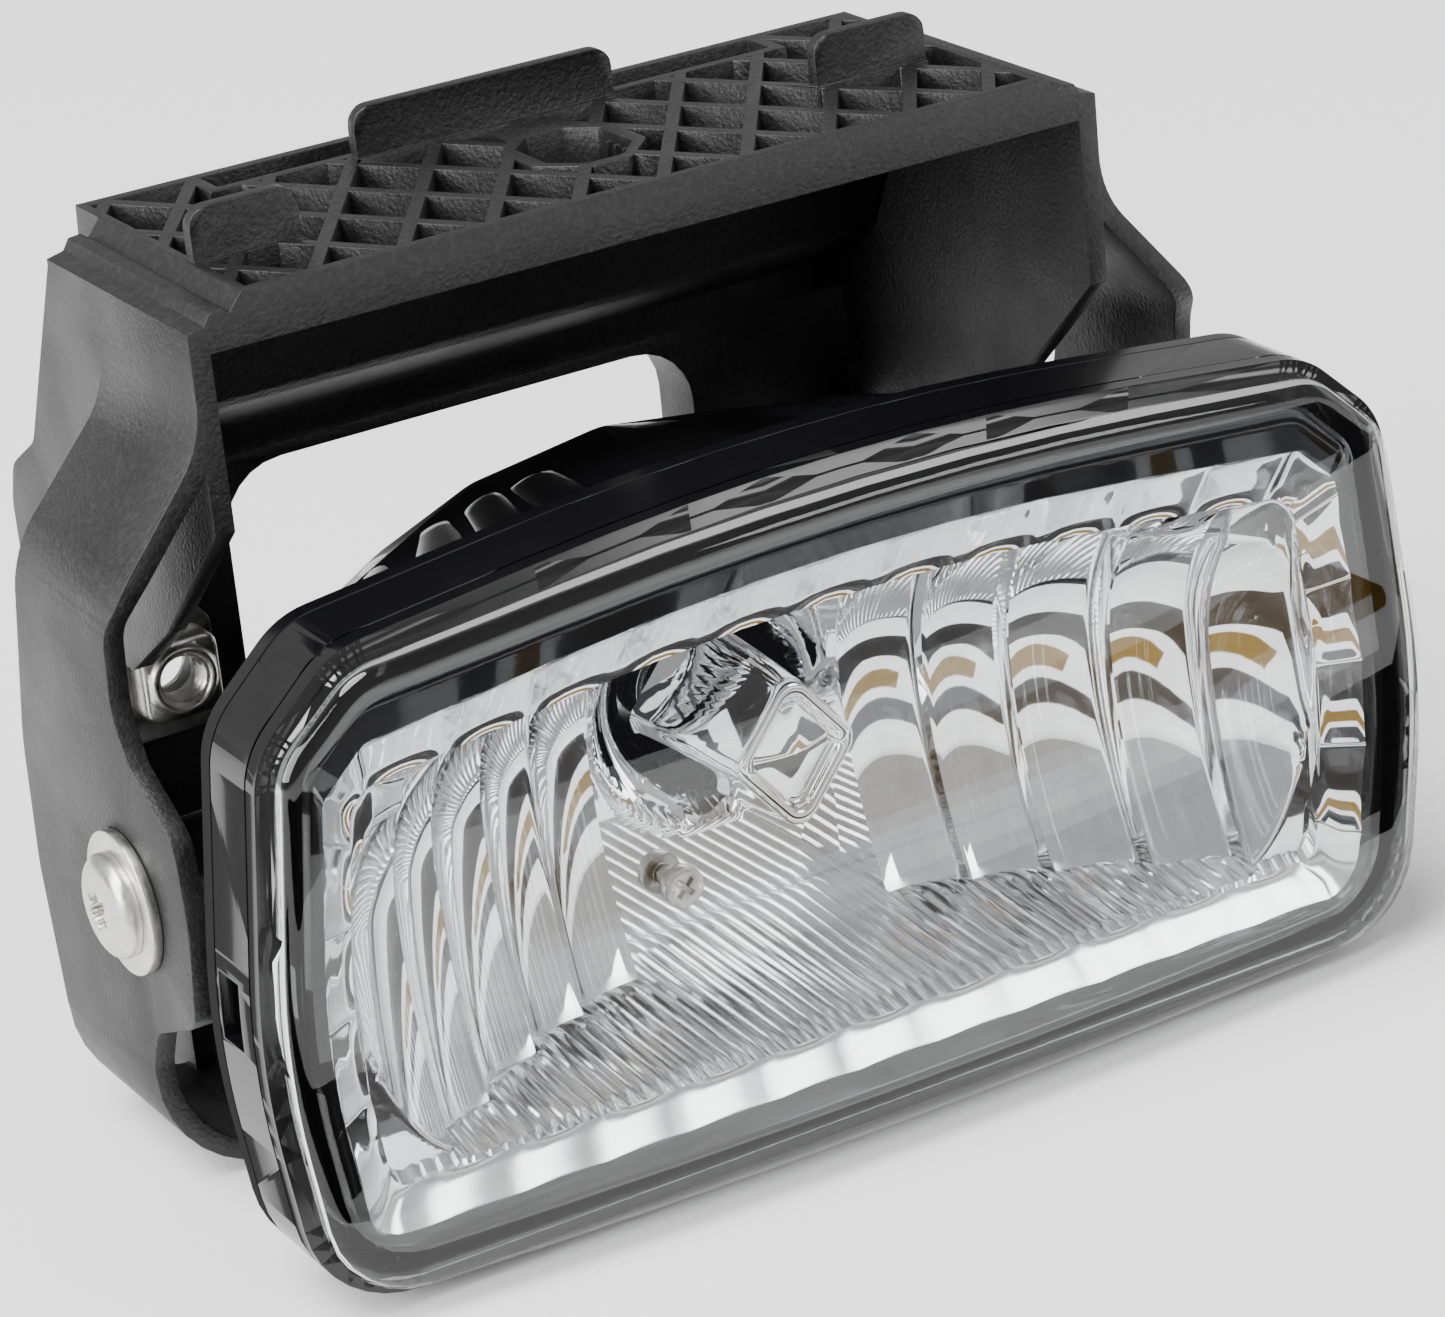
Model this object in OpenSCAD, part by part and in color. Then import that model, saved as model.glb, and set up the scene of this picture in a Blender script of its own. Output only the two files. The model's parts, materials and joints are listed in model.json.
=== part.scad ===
// Fog light on a one-piece moulded bracket.
// The lamp tilts on two shoulder screws; the bulb turns in its bayonet socket.
// X runs across the vehicle, -Y is forward, where the light goes, and +Z is up.
// Shapes are drawn about the tilt axis and moved so that the origin lies on the pad's top face.

/* [Bracket] */
// Height of the pad's top face above the tilt axis
pad_height = 84.3; // [82:0.1:92]
// Distance of the land behind the locating slot, the origin, behind the tilt axis
land_setback = 29; // [28.5:0.1:30]
// Length of the ribbed pad, left to right
pad_length = 130; // [126:1:134]
// Front edge of the pad, measured from the tilt axis
pad_front = -7.8; // [-9:0.1:-6]
// Rear edge of the pad
pad_rear = 46.6; // [46:0.1:50]
// Thickness of the bracket's walls
wall = 3.1; // [2.6:0.1:3.4]
// Half width of the bracket at its shoulders
shoulder_half = 73.2; // [72:0.1:75]
// Half width over the arms at the tilt axis
arm_half = 90; // [89:0.1:92]
// Rear face of the back wall, measured from the tilt axis
back_face = 67; // [65:0.5:70]
// Underside of the bracket, measured from the tilt axis
bracket_floor = -46.4; // [-50:0.1:-45]

/* [Pad ribs] */
// Angle of the ribs from the front-to-back direction
rib_angle = 33; // [28:1:38]
// Distance between ribs along the pad
rib_pitch = 13.6; // [12:0.2:16]
// Thickness of a rib
rib_w = 2; // [1.4:0.1:2.6]
// Depth of the pockets between the ribs
pocket_depth = 5.2; // [3:0.1:5.4]
// Height of the upright tabs above the pad
tab_height = 7.5; // [5:0.1:10]

/* [Lamp] */
// Half width of the lens at its widest
lens_half = 93; // [92:0.1:94]
// Height of the lens's top above the tilt axis
lens_top = 55.8; // [54:0.1:57]
// Depth of the lens's lower edge below the tilt axis
lens_drop = 42.2; // [40:0.1:43]
// Distance of the lens's front face ahead of the tilt axis
lens_front = 58.2; // [57:0.1:60]
// Wall thickness of the lens
lens_t = 3; // [2.4:0.1:3.2]
// Radius of the lens's slight crown
crown_r = 1000; // [800:50:2000]
// Wall thickness of the housing
shell_t = 2.5; // [2:0.1:3]

/* [Pivots] */
// Radius of the shoulder that turns in the arm
shoulder_r = 4; // [3.5:0.1:4.5]
// Running clearance round the shoulder
running_gap = 0.06; // [0.02:0.01:0.1]
// Radius of the washer
washer_r = 10.5; // [9:0.1:11.5]
// Thickness of the washer
washer_t = 1.6; // [1:0.1:2]
// Radius of the screw's head
pan_r = 7.65; // [7:0.05:8.5]

/* [Bulb] */
// Height of the bulb's axis above the tilt axis
bulb_z = 5; // [3:0.5:7]
// Radius of the bulb's barrel in the housing's collar
barrel_r = 10.95; // [10.5:0.05:11.5]
// Radius of the bulb's glass
glass_r = 5.8; // [5:0.1:6.2]

/* [Clip nuts] */
// Distance of each fixing bolt from the centre line
bolt_half = 54.2; // [53:0.1:56]
// Height of the fixing bolts above the tilt axis
bolt_z = 4.5; // [3:0.1:6]
// Width across the flats of the square nut
nut_w = 12.8; // [12:0.1:13.4]
// Radius of the nut's thread wall
thread_r = 3.4; // [3.2:0.05:4]
// Radius of the bolt's clearance hole in the back wall
bolt_hole_r = 4.5; // [4.2:0.1:4.8]

/* [Hidden] */
$fn = 48;

// Sides as factors along X
LEFT = -1;
RIGHT = 1;

// Bracket sections
plate_under = pad_height - 7.6;
shoulder_top = pad_height - 4.1;
flare_top = 65;
flare_foot = 44.8;
arm_back = 31;
cheek_rear = 38.5;
window_half = 41;
window_top = 32.5;
window_foot = -30;
window_r = 10;
collar_depth = 8;
arm_corner_r = 18.4;

// Lamp stations along Y, negative towards the front
skirt_front = -50;
skirt_back = -34;
dome_front = -29;
dome_back = 18;
seal_front = -42;
seal_back = -41;
bezel_front = -54.6;
reflector_front = -50.4;
shield_front = -31.4;
shield_back = -5;
foot_x = -8;
foot_y = -5;
foot_z = -21.5;
boss_r = 9;
boss_root = 57;
boss_face = arm_half - wall - 0.15;
collar_back = 26;
barrel_front = 15.2;
lug_r = 14;
lug_front = 16.3;
lug_back = 18.6;
unlock_turn = 45;

black = [0.05, 0.05, 0.055];
chrome = [0.85, 0.86, 0.88];
zinc = [0.78, 0.78, 0.75];

// ---------- outlines ----------
function unit(v) = v / norm(v);
function side(v) = [-v[1], v[0]];
function turn(a, b) = a[0] * b[1] - a[1] * b[0];

// Points of an open or closed path moved to their left by d
function shifted(p, d, closed) = let (n = len(p)) [
    for (i = [0:n - 1]) let (
        first = !closed && i == 0,
        last = !closed && i == n - 1,
        after = unit(last ? p[i] - p[i - 1] : p[(i + 1) % n] - p[i]),
        before = unit(first ? p[1] - p[0] : p[i] - p[(i + n - 1) % n]),
        m = side(after) + side(before)
    ) p[i] + m * (2 * d / (m * m))
];

// Arc of radius r that rounds the corner a-b-c
function corner(a, b, c, r, steps) = let (
    u = unit(a - b), v = unit(c - b),
    half = acos(u * v) / 2,
    centre = b + unit(u + v) * (r / sin(half)),
    start = b + u * (r / tan(half)) - centre,
    sweep = (turn(u, v) > 0 ? -1 : 1) * (180 - 2 * half),
    from = atan2(start[1], start[0])
) [for (k = [0:steps]) centre + r * [cos(from + sweep * k / steps), sin(from + sweep * k / steps)]];

// Path with its corners rounded; a radius of 0 keeps the corner sharp
function rounded(p, r, closed, steps = 8) = let (n = len(p)) [
    for (i = [0:n - 1])
        for (q = r[i] == 0 || (!closed && (i == 0 || i == n - 1)) ? [p[i]]
            : corner(p[(i + n - 1) % n], p[i], p[(i + 1) % n], r[i], steps)) q
];

function reversed(p) = [for (i = [len(p) - 1:-1:0]) p[i]];

// Section of a bent wall of thickness t, to the left of the path p
function bent_wall(p, r, t) = let (
    n = len(p),
    inner_r = [for (i = [0:n - 1]) i == 0 || i == n - 1 || r[i] == 0 ? 0
        : max(0.3, r[i] - t * sign(turn(p[i] - p[i - 1], p[i + 1] - p[i])))]
) concat(rounded(p, r, false), reversed(rounded(shifted(p, t, false), inner_r, false)));

// The lens's outline in X and Z, moved inward by d
lens_pts = [[88.5, -lens_drop], [lens_half, -6], [88, 36.4], [76.4, 47.2], [0, lens_top],
    [-76.4, 47.2], [-88, 36.4], [-lens_half, -6], [-88.5, -lens_drop]];
lens_r = [14, 110, 11, 11, 420, 11, 11, 110, 14];
function lens_outline(d) = rounded(shifted(lens_pts, d, true), [for (r = lens_r) max(3, r - d)], true);

// ---------- helpers ----------
module in_place() {
    translate([0, -land_setback, -pad_height]) children();
}

// Extrudes an X-Z outline from y0 back to y1
module between(y0, y1) {
    translate([0, y1, 0]) rotate([90, 0, 0]) linear_extrude(y1 - y0) children();
}

// Extrudes a Y-Z outline from x0 to x1
module across(x0, x1) {
    translate([x0, 0, 0]) rotate([90, 0, 90]) linear_extrude(x1 - x0) children();
}

// A slice of the lens's outline, moved inward by d
module lens_slice(d, y0, y1) {
    between(y0, y1) polygon(lens_outline(d));
}

// A cylinder along Y on the bulb's axis
module on_bulb_axis(r, y0, y1, r2 = 0) {
    translate([0, y0, bulb_z]) rotate([-90, 0, 0]) cylinder(r1 = r, r2 = r2 == 0 ? r : r2, h = y1 - y0);
}

// A cylinder along Y at x, z
module rod_y(x, z, r, y0, y1) {
    translate([x, y0, z]) rotate([-90, 0, 0]) cylinder(r = r, h = y1 - y0);
}

// A cylinder along X on the tilt axis, on one side, from x0 out to x1
module on_tilt_axis(s, r, x0, x1) {
    translate([s * x0, 0, 0]) rotate([0, s * 90, 0]) cylinder(r = r, h = x1 - x0);
}

module rounded_box(x0, x1, z0, z1, r) {
    polygon(rounded([[x0, z0], [x1, z0], [x1, z1], [x0, z1]], [r, r, r, r], true, 6));
}

module both_sides() {
    children();
    mirror([1, 0, 0]) children();
}

// ---------- bracket ----------
// Diamond lattice of ribs, seen from above
module rib_lattice() {
    count = ceil(pad_length / rib_pitch / 2) + 4;
    rib_length = 2 * pad_length;
    for (k = [-count:count], s = [LEFT, RIGHT])
        translate([k * rib_pitch + 0.5, pad_front]) rotate(-s * rib_angle)
            square([rib_w, rib_length], center = true);
}

slot_y = 16.5;
module slot_outline(grow) {
    half = 7 + grow;
    long = 9 + grow;
    polygon(rounded([[half, slot_y - 4.5], [half, slot_y + 5], [3, slot_y + long], [-3, slot_y + long],
        [-half, slot_y + 5], [-half, slot_y - 4.5], [-3, slot_y - long], [3, slot_y - long]],
        [2, 2, 2, 2, 2, 2, 2, 2], true, 4));
}

// Solid round the locating slot and the land behind it
module slot_boss() {
    slot_outline(2.4);
    translate([-6, slot_y + 9]) square([12, land_setback + 3 - slot_y - 9]);
}

// Outline of the pockets, with the ribs left standing
module pad_pockets() {
    rim = 1.9;
    field_back = 36.6;
    channel_front = 38.4;
    channel_back = pad_rear - 2;
    channel_half = 46;
    half = pad_length / 2 - rim;
    difference() {
        union() {
            translate([-half, pad_front + rim]) square([2 * half, field_back - pad_front - rim]);
            for (s = [LEFT, RIGHT])
                translate([s > 0 ? channel_half + 2 : -half, field_back - 1])
                    square([half - channel_half - 2, channel_back - field_back + 1]);
        }
        rib_lattice();
        slot_boss();
        for (t = tabs) translate([t[0], t[2] - 0.6]) square([t[1] - t[0], tab_t + 1.2]);
    }
    translate([-channel_half, channel_front]) square([2 * channel_half, channel_back - channel_front]);
}

// Upright tabs: left end, right end, front face
tab_t = 2.2;
tabs = [[-25.5, 17, 34.6], [-64, -47.5, 8.2], [39.5, 58.5, 14.2]];
module upright_tabs() {
    for (t = tabs)
        between(t[2], t[2] + tab_t)
            polygon(rounded([[t[0], plate_under + 3], [t[1], plate_under + 3],
                [t[1], pad_height + tab_height], [t[0], pad_height + tab_height]], [0, 0, 3, 3], true, 6));
}

// Stepped section of the top plate and its shoulders
module top_plate() {
    h = pad_length / 2;
    edge = [[shoulder_half, plate_under], [shoulder_half, shoulder_top], [70.6, shoulder_top + 0.6],
        [69.6, shoulder_top + 2.2], [67.6, shoulder_top + 2.4], [66.6, shoulder_top + 1.6],
        [h + 0.4, pad_height - 1], [h - 0.4, pad_height]];
    between(pad_front, cheek_rear)
        polygon(concat(edge, [for (p = reversed(edge)) [-p[0], p[1]]]));
    between(cheek_rear - 2, pad_rear)
        polygon([[h, plate_under], [h - 0.4, pad_height], [-h + 0.4, pad_height], [-h, plate_under]]);
}

// Line of the back wall's outer face in Y and Z, from the pad down and forward under the lamp
back_line = [[cheek_rear, pad_height - 5], [54.8, 48.5], [64.5, 42.6], [back_face, 36],
    [back_face, bracket_floor], [arm_back - 1, bracket_floor]];
back_r = [0, 5, 6, 8, 12, 0];

module back_wall() {
    across(-shoulder_half, shoulder_half) polygon(bent_wall(back_line, back_r, -wall));
}

// Walls that close the rear box at its sides, cut away beside the clip nuts
module rear_cheek() {
    line = rounded(back_line, back_r, false);
    across(shoulder_half - wall, shoulder_half) difference() {
        polygon(concat([[pad_front, pad_height - 6], [pad_front, 51.5], [14.5, 30.5], [29, 20.5],
            [27.5, 18], [27.5, bracket_floor]], reversed(line)));
        polygon(rounded([[20, 20.5], [33, 20.5], [58, 12], [58, -16], [20, -16]], [0, 6, 8, 8, 0], true, 5));
    }
}

// Shoulder, flare and arm as one bent panel, cut to its outline in Y and Z
module side_wall() {
    foot_top = bracket_floor + arm_corner_r;
    intersection() {
        between(-30, 50) polygon(bent_wall([[shoulder_half, pad_height - 6], [shoulder_half, flare_top],
            [arm_half, flare_foot], [arm_half, foot_top]], [0, 16, 16, 0], -wall));
        across(shoulder_half - wall - 1, arm_half + 1)
            polygon(rounded([[pad_front, pad_height - 6], [pad_front, flare_foot + 1], [-4.4, 41], [-3.2, 29],
                [-7, 22], [-18.6, 15], [-19.6, 2], [-17, -13.5], [-2.6, -19.8], [0.4, -26], [0.4, foot_top - 1],
                [arm_back, foot_top - 1], [33.8, -6], [32.6, 14], [25, 43], [23.5, 62], [23.5, pad_height - 6]],
                [0, 8, 8, 10, 6, 6, 20, 3.5, 4, 4, 0, 0, 20, 30, 20, 0, 0], true, 5));
    }
}

// Rounded foot of the arms and the wall that joins them under the lamp
module arm_feet() {
    drop = bracket_floor + arm_corner_r;
    line = [[-arm_half, drop], [-arm_half, bracket_floor], [arm_half, bracket_floor], [arm_half, drop]];
    between(0.4, arm_back) polygon(bent_wall(line, [0, arm_corner_r, arm_corner_r, 0], wall));
}

// Lip round the opening in the back wall
module window_lip() {
    between(back_face - 1, back_face + collar_depth)
        rounded_box(-window_half - 2.4, window_half + 2.4, window_foot - 2.4, window_top + 2.4, window_r + 2.4);
}

module slot_ribs() {
    for (s = [LEFT, RIGHT], k = [-1:1])
        translate([s * 7 - 0.6, slot_y + k * 2.4 - 0.4, plate_under + 0.9]) cube([1.2, 0.8, pocket_depth]);
}

module mounting_bracket() {
    color(black) in_place() difference() {
        union() {
            difference() {
                top_plate();
                translate([0, 0, pad_height - pocket_depth]) linear_extrude(pocket_depth + 1) pad_pockets();
            }
            upright_tabs();
            back_wall();
            window_lip();
            both_sides() rear_cheek();
            both_sides() side_wall();
            arm_feet();
        }
        between(back_face - 20, back_face + collar_depth + 1)
            rounded_box(-window_half, window_half, window_foot, window_top, window_r);
        difference() {
            translate([0, 0, plate_under - 1]) linear_extrude(10) slot_outline(0);
            slot_ribs();
        }
        for (s = [LEFT, RIGHT]) {
            on_tilt_axis(s, shoulder_r + running_gap, arm_half - wall - 1, arm_half + 1);
            rod_y(s * bolt_half, bolt_z, bolt_hole_r, back_face - wall - 1, back_face + 1);
            // Opening that the spring clip is pushed on through
            translate([s * (clip_edge + 4) - 4, back_face - wall - 1, bolt_z - 11.5]) cube([8, wall + 2, 20]);
        }
    }
}

// ---------- clip nuts ----------
clip_t = 1;
clip_edge = 62;
clip_reach = 46.4;
nut_h = 6.2;
wall_front = back_face - wall;

// U-shaped spring clip over the edge of the back wall
module spring_clip(s) {
    z0 = bolt_z - 10.5;
    z1 = bolt_z + 11.5;
    color(zinc) in_place() difference() {
        union() {
            between(wall_front - clip_t, wall_front)
                polygon(rounded([[s * (clip_edge + clip_t), z0], [s * clip_reach, z0], [s * clip_reach, z1 - 5],
                    [s * (clip_reach + 4), z1], [s * (clip_edge - 6), z1 - 1],
                    [s * (clip_edge + clip_t), z1 - 6]], [0, 2.5, 3, 3, 3, 0], true, 5));
            between(wall_front - clip_t, back_face + clip_t)
                polygon([[s * clip_edge, z0], [s * (clip_edge + clip_t), z0],
                    [s * (clip_edge + clip_t), z1 - 6], [s * clip_edge, z1 - 6]]);
            between(back_face, back_face + clip_t)
                polygon(rounded([[s * (clip_edge + clip_t), z0], [s * 48.4, z0 + 2], [s * 48.4, z1 - 8],
                    [s * (clip_edge + clip_t), z1 - 6]], [0, 3, 3, 0], true, 5));
        }
        rod_y(s * bolt_half, bolt_z, bolt_hole_r, wall_front - 2, back_face + 2);
    }
}
module clip_left() { spring_clip(LEFT); }
module clip_right() { spring_clip(RIGHT); }

// Square nut carried by the clip
module square_nut(s) {
    y1 = wall_front - clip_t;
    h = nut_w / 2;
    color(zinc) in_place() difference() {
        between(y1 - nut_h, y1)
            translate([s * bolt_half, bolt_z]) rounded_box(-h, h, -h, h, 2.4);
        rod_y(s * bolt_half, bolt_z, thread_r, y1 - nut_h - 1, y1 + 1);
    }
}
module clip_nut_left() { square_nut(LEFT); }
module clip_nut_right() { square_nut(RIGHT); }

// ---------- lamp ----------
// The dome's arched back in X and Z, grown outward by g
module dome_outline(g) {
    back = [[40, -28], [52, -14], [52, 16], [40, 31], [22, 38.2], [0, 41.2],
        [-22, 38.2], [-40, 31], [-52, 16], [-52, -14], [-40, -28]];
    polygon(rounded(shifted(back, -g, true), [for (p = back) 12], true, 4));
}

// Dome behind the skirt, grown outward by g from its inner face
module dome(g) {
    hull() {
        lens_slice(7 - g, dome_front, dome_front + 0.5);
        between(dome_back - 0.5 - shell_t + g, dome_back - shell_t + g) dome_outline(g - shell_t);
    }
}

module shoulder_of_dome(front_d, back_d) {
    hull() {
        lens_slice(front_d, skirt_back - 1, skirt_back);
        lens_slice(back_d, dome_front - 0.5, dome_front + 0.5);
    }
}

// Three bayonet sectors between radii, turned by a
module lugs(r, y0, y1, a, half_angle) {
    for (k = [0:2])
        translate([0, y1, bulb_z]) rotate([90, 0, 0]) rotate(a + k * 120) linear_extrude(y1 - y0)
            polygon(concat([[0, 0]], [for (t = [-half_angle:half_angle / 3:half_angle]) r * [cos(t), sin(t)]]));
}

screw_x = 34;
vent_x = -28;
vent_z = 20;
module housing() {
    color([0.03, 0.03, 0.035]) in_place() difference() {
        union() {
            lens_slice(-2, skirt_front, skirt_back);
            shoulder_of_dome(-2, 7);
            dome(shell_t);
            for (s = [LEFT, RIGHT]) on_tilt_axis(s, boss_r, boss_root, boss_face);
            on_bulb_axis(17.5, dome_back - 1, collar_back);
            rod_y(vent_x, vent_z, 4.2, dome_back - 1, dome_back + 4);
        }
        difference() {
            union() {
                lens_slice(0.7, skirt_front - 1, seal_back);
                lens_slice(4.4, skirt_front - 1, skirt_back - 0.5);
                shoulder_of_dome(4.4, 7.2);
                dome(0);
            }
            for (s = [LEFT, RIGHT]) on_tilt_axis(s, boss_r, boss_root, boss_face);
        }
        for (s = [LEFT, RIGHT]) {
            on_tilt_axis(s, 5.5, boss_face - 12, boss_face + 1);
            on_tilt_axis(s, 3.3, boss_face - 20, boss_face);
            // Windows that the lens's side latches snap into
            translate([s * lens_half - 6, -43.6, -5.2]) cube([12, 6, 9.8]);
            rod_y(s * screw_x, bulb_z, 1.7, dome_back - shell_t - 1, dome_back + 1);
        }
        on_bulb_axis(lug_r + 0.4, dome_back - shell_t - 1, lug_back + 0.4);
        on_bulb_axis(barrel_r + running_gap, lug_back - 2, collar_back + 1);
        lugs(lug_r + 0.2, lug_back - 1, collar_back + 1, 90 - unlock_turn, 17);
        rod_y(vent_x, vent_z, 1.6, dome_back - 6, dome_back + 5);
    }
}

module crown(r, front) {
    translate([0, -front + r, -80]) cylinder(r = r, h = 180, $fn = 720);
}

module lens() {
    color([0.9, 0.95, 0.97, 0.25]) in_place() difference() {
        intersection() {
            union() {
                lens_slice(0, -lens_front - 1, skirt_front - 0.2);
                lens_slice(1, skirt_front - 1, seal_front);
            }
            crown(crown_r, lens_front);
        }
        intersection() {
            lens_slice(4, -lens_front, seal_front + 1);
            crown(crown_r - lens_t, lens_front - lens_t);
        }
    }
}

module lens_seal() {
    color([0.12, 0.12, 0.12]) in_place() difference() {
        lens_slice(1, seal_front, seal_back);
        lens_slice(4, seal_front - 1, seal_back + 1);
    }
}

module bezel() {
    gap = lens_t + 0.6;
    color(black) in_place() difference() {
        intersection() {
            union() {
                lens_slice(4.6, bezel_front, bezel_front + 4);
                lens_slice(7.4, bezel_front, reflector_front);
            }
            crown(crown_r - gap, lens_front - gap);
        }
        lens_slice(9, bezel_front - 1, reflector_front + 1);
    }
}

// Reflector bowl, shrunk inward by t
module bowl(t) {
    hull() {
        lens_slice(9 + t, -47 + t / 3, -46);
        between(3 - t, 3.2 - t) rounded_box(-42 + t, 42 - t, -27 + t, 28 - t, 12);
    }
}

module reflector() {
    color(chrome) in_place() difference() {
        union() {
            lens_slice(7.4, reflector_front, reflector_front + 1.8);
            lens_slice(8, reflector_front, -45.5);
            bowl(0);
            for (s = [LEFT, RIGHT]) rod_y(s * screw_x, bulb_z, 4, 0, dome_back - shell_t);
            on_bulb_axis(13, 0, 6);
            // Boss behind the shield's screw
            rod_y(foot_x, foot_z, 3.6, foot_y, 12);
        }
        difference() {
            union() {
                lens_slice(10, reflector_front - 1, -46.4);
                bowl(2);
            }
            rod_y(foot_x, foot_z, 3.6, foot_y, 4);
        }
        on_bulb_axis(10.5, -6, 7);
        for (s = [LEFT, RIGHT]) rod_y(s * screw_x, bulb_z, 1.5, 5.5, dome_back);
        rod_y(foot_x, foot_z, 1.5, foot_y - 2, 10);
    }
}

// Rhombus in X and Z with rounded corners
module rhombus(grow, shift = 0) {
    w = 10.6 + grow;
    h = 13 + grow;
    translate([0, bulb_z + shift])
        polygon(rounded([[w, 0], [0, h], [-w, 0], [0, -h]], [2.6, 2.6, 2.6, 2.6], true, 6));
}

module bulb_shield() {
    leg_t = 1.6;
    color(chrome) in_place() difference() {
        union() {
            hull() {
                between(shield_front, shield_front + 0.4) rhombus(0);
                between(shield_back - 0.4, shield_back) rhombus(3);
            }
            // Foot that is screwed to the reflector
            between(shield_back - leg_t, shield_back)
                rounded_box(foot_x - 9, foot_x + 9, foot_z - 3.5, -5, 1.5);
        }
        hull() {
            between(shield_front + leg_t, shield_front + leg_t + 0.4) rhombus(-1.6);
            between(shield_back, shield_back + 0.5) rhombus(1.4);
        }
        rod_y(foot_x, foot_z, 1.8, shield_back - 3, shield_back + 1);
    }
}

module shield_screw() {
    seat = shield_back - 1.6;
    color(zinc) in_place() difference() {
        union() {
            rod_y(foot_x, foot_z, 3.2, seat - 2, seat);
            rod_y(foot_x, foot_z, 1.5, seat - 0.1, 8);
        }
        for (a = [45, 135])
            translate([foot_x, seat - 2, foot_z]) rotate([0, a, 0]) cube([3.6, 2, 0.8], center = true);
    }
}

module reflector_screws() {
    color(zinc) in_place() for (s = [LEFT, RIGHT]) {
        rod_y(s * screw_x, bulb_z, 3.4, dome_back, dome_back + 2.2);
        rod_y(s * screw_x, bulb_z, 1.5, 7, dome_back + 0.1);
    }
}

// Breather cap pushed over its spigot
module vent_cap() {
    color([0.1, 0.1, 0.1]) in_place() difference() {
        rod_y(vent_x, vent_z, 6, dome_back, dome_back + 5.6);
        rod_y(vent_x, vent_z, 4.25, dome_back - 1, dome_back + 4);
    }
}

// ---------- pivots ----------
washer_face = arm_half + 0.06;
module pivot_screw(s) {
    seat = washer_face + washer_t;
    head_h = 3.7;
    color(zinc) in_place() difference() {
        union() {
            on_tilt_axis(s, 2.95, boss_face - 15, boss_face);
            on_tilt_axis(s, shoulder_r, boss_face, seat);
            translate([s * seat, 0, 0]) rotate([0, s * 90, 0]) rotate_extrude()
                polygon(concat([[0, 0], [pan_r, 0]],
                    [for (a = [0:12:84]) [pan_r - 3 + 3 * cos(a), 1 + (head_h - 1.6) * sin(a)]],
                    [[0, head_h]]));
        }
        // Six-lobed recess
        translate([s * (seat + head_h - 2.2), 0, 0]) rotate([0, s * 90, 0]) {
            cylinder(r = 2, h = 4);
            for (a = [0:60:300]) rotate(a) translate([2, 0, 0]) cylinder(r = 0.72, h = 4, $fn = 16);
        }
    }
}
module pivot_screw_left() { pivot_screw(LEFT); }
module pivot_screw_right() { pivot_screw(RIGHT); }

module pivot_washer(s) {
    color(zinc) in_place() difference() {
        on_tilt_axis(s, washer_r, washer_face, washer_face + washer_t);
        on_tilt_axis(s, shoulder_r + 0.15, washer_face - 1, washer_face + washer_t + 1);
    }
}
module pivot_washer_left() { pivot_washer(LEFT); }
module pivot_washer_right() { pivot_washer(RIGHT); }

// Brass thread insert moulded into the housing's boss
module pivot_insert(s) {
    color([0.78, 0.62, 0.3]) in_place() difference() {
        union() {
            on_tilt_axis(s, 5.5, boss_face - 12, boss_face - 8);
            on_tilt_axis(s, 5, boss_face - 8, boss_face - 5);
            on_tilt_axis(s, 5.5, boss_face - 5, boss_face);
        }
        on_tilt_axis(s, 2.95, boss_face - 13, boss_face + 1);
    }
}
module pivot_insert_left() { pivot_insert(LEFT); }
module pivot_insert_right() { pivot_insert(RIGHT); }

// ---------- bulb ----------
// Profile of the glass in radius and length, from its root to the tip
function glass_profile(r, tip) = concat([[0, 0], [r, 0]],
    [for (a = [0:10:80]) [r * cos(a), tip - r * 0.8 + r * 0.8 * sin(a)]], [[0, tip]]);

module bulb_glass() {
    color([0.95, 0.97, 1, 0.3]) in_place() difference() {
        translate([0, 8, bulb_z]) rotate([90, 0, 0]) rotate_extrude() polygon(glass_profile(glass_r, 34));
        translate([0, 5, bulb_z]) rotate([90, 0, 0]) rotate_extrude() polygon(glass_profile(glass_r - 0.9, 30));
    }
}

module bulb_filament() {
    color([0.5, 0.5, 0.52]) in_place() rod_y(0, bulb_z, 0.8, -10, -5);
}

module bulb_leads() {
    color([0.6, 0.6, 0.6]) in_place() {
        rod_y(-2, bulb_z, 0.35, -5, 5);
        translate([-2.35, -5, bulb_z - 0.35]) cube([2.3, 0.7, 0.7]);
        rod_y(2.4, bulb_z, 0.35, -10.7, 5);
        translate([0, -10.7, bulb_z - 0.35]) cube([2.75, 0.7, 0.7]);
    }
}

module bulb_holder() {
    color([0.7, 0.7, 0.68]) in_place() difference() {
        union() {
            on_bulb_axis(6.9, 2.5, 9);
            on_bulb_axis(8.6, 9, barrel_front);
        }
        on_bulb_axis(glass_r, 1, 8);
    }
}

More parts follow.
